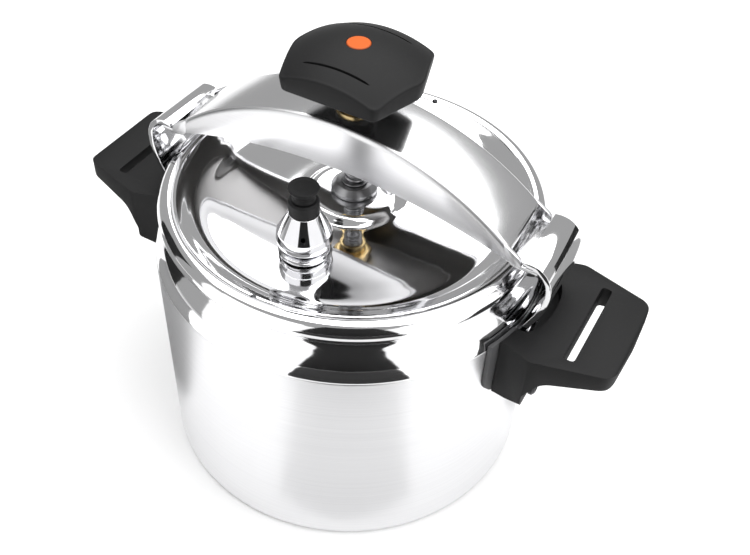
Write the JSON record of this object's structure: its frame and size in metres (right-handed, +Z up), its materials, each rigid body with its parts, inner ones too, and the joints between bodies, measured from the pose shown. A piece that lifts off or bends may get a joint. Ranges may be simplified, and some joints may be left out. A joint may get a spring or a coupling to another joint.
{
  "type": "pressure cooker",
  "caption": "Stovetop pressure cooker: spun aluminium pot, lid clamped by an arched bridge under two side hooks, black screw knob, weight valve and safety valve.",
  "frame": {"origin": "centre of the pot's underside, on the surface that it stands on", "axes": "+Z up along the pot's axis, +X towards the right handle and along the bridge, -Y towards the working valve"},
  "size_m": [0.3424, 0.226, 0.268],
  "materials": {
    "satin_aluminium": "brushed round, satin",
    "polished_aluminium": "mirror polished",
    "brushed_aluminium": "brushed along its length",
    "rivet_aluminium": "plain",
    "handle_seat": "moulded, matte",
    "blackened_screw": "blackened",
    "black_phenolic": "moulded phenolic, fine matte grain",
    "sealing_ring": "moulded silicone",
    "silicone_washer": "moulded silicone",
    "brass": "turned",
    "orange_badge": "gloss inlay",
    "zinced_steel": "turned",
    "chrome": "mirror chrome"
  },
  "bodies": {
    "pot": {"pot_body": "satin_aluminium", "hook_right": "polished_aluminium", "handle_right": "black_phenolic", "handle_seat_right": "handle_seat", "hook_rivet_right_1": "rivet_aluminium", "hook_rivet_right_2": "rivet_aluminium", "hook_rivet_right_3": "rivet_aluminium", "hook_rivet_right_4": "rivet_aluminium", "handle_screw_right_1": "blackened_screw", "handle_screw_right_2": "blackened_screw", "hook_left": "polished_aluminium", "handle_left": "black_phenolic", "handle_seat_left": "handle_seat", "hook_rivet_left_1": "rivet_aluminium", "hook_rivet_left_2": "rivet_aluminium", "hook_rivet_left_3": "rivet_aluminium", "hook_rivet_left_4": "rivet_aluminium", "handle_screw_left_1": "blackened_screw", "handle_screw_left_2": "blackened_screw"},
    "lid": {"lid_shell": "polished_aluminium", "lid_gasket": "sealing_ring", "valve_stem": "chrome", "valve_stem_washer": "silicone_washer", "valve_stem_nut": "zinced_steel", "safety_body": "chrome", "safety_washer": "silicone_washer", "safety_nut": "zinced_steel", "safety_spring": "zinced_steel", "safety_cap": "chrome"},
    "bridge": {"bridge": "brushed_aluminium", "bridge_bush": "brass", "bridge_bush_nut": "brass"},
    "screw": {"spindle": "zinced_steel", "knob_body": "black_phenolic", "knob_badge": "orange_badge", "knob_hub": "black_phenolic", "knob_pin": "zinced_steel", "spindle_foot_clip": "zinced_steel"},
    "foot": {"spindle_foot": "zinced_steel"},
    "needle": {"valve_needle": "zinced_steel"},
    "weight": {"valve_weight": "chrome", "valve_collar": "black_phenolic", "valve_cap": "black_phenolic"},
    "safety_pin_body": {"safety_pin": "zinced_steel"}
  },
  "joints": [
    {"name": "lid_turn", "type": "hinge", "parent": "pot", "child": "lid", "pos_m": [0, 0, 0.17], "axis": [0, 0, 1], "range_deg": [-90, 90]},
    {"name": "knob_turn", "type": "hinge", "parent": "lid", "child": "screw", "pos_m": [0, 0, 0.2], "axis": [0, 0, 1], "range_deg": [0, 720.2]},
    {"name": "bridge_drop", "type": "slide", "parent": "lid", "child": "bridge", "axis": [0, 0, -1], "range_m": [0, 0.006]},
    {"name": "foot_swivel", "type": "hinge", "parent": "screw", "child": "foot", "pos_m": [0, 0, 0.178], "axis": [0, 0, 1], "continuous": true},
    {"name": "valve_lift", "type": "slide", "parent": "lid", "child": "needle", "axis": [0, 0, 1], "range_m": [0, 0.004]},
    {"name": "valve_spin", "type": "hinge", "parent": "needle", "child": "weight", "pos_m": [0, -0.052, 0.18], "axis": [0, 0, 1], "continuous": true},
    {"name": "safety_lift", "type": "slide", "parent": "lid", "child": "safety_pin_body", "axis": [0, 0, 1], "range_m": [0, 0.003], "stiffness_N_per_m": 900, "deforming": ["safety_spring"]}
  ],
  "couplings": [
    {"joint": "knob_turn", "follows": "bridge_drop", "rad_per_m": 2094.4}
  ]
}
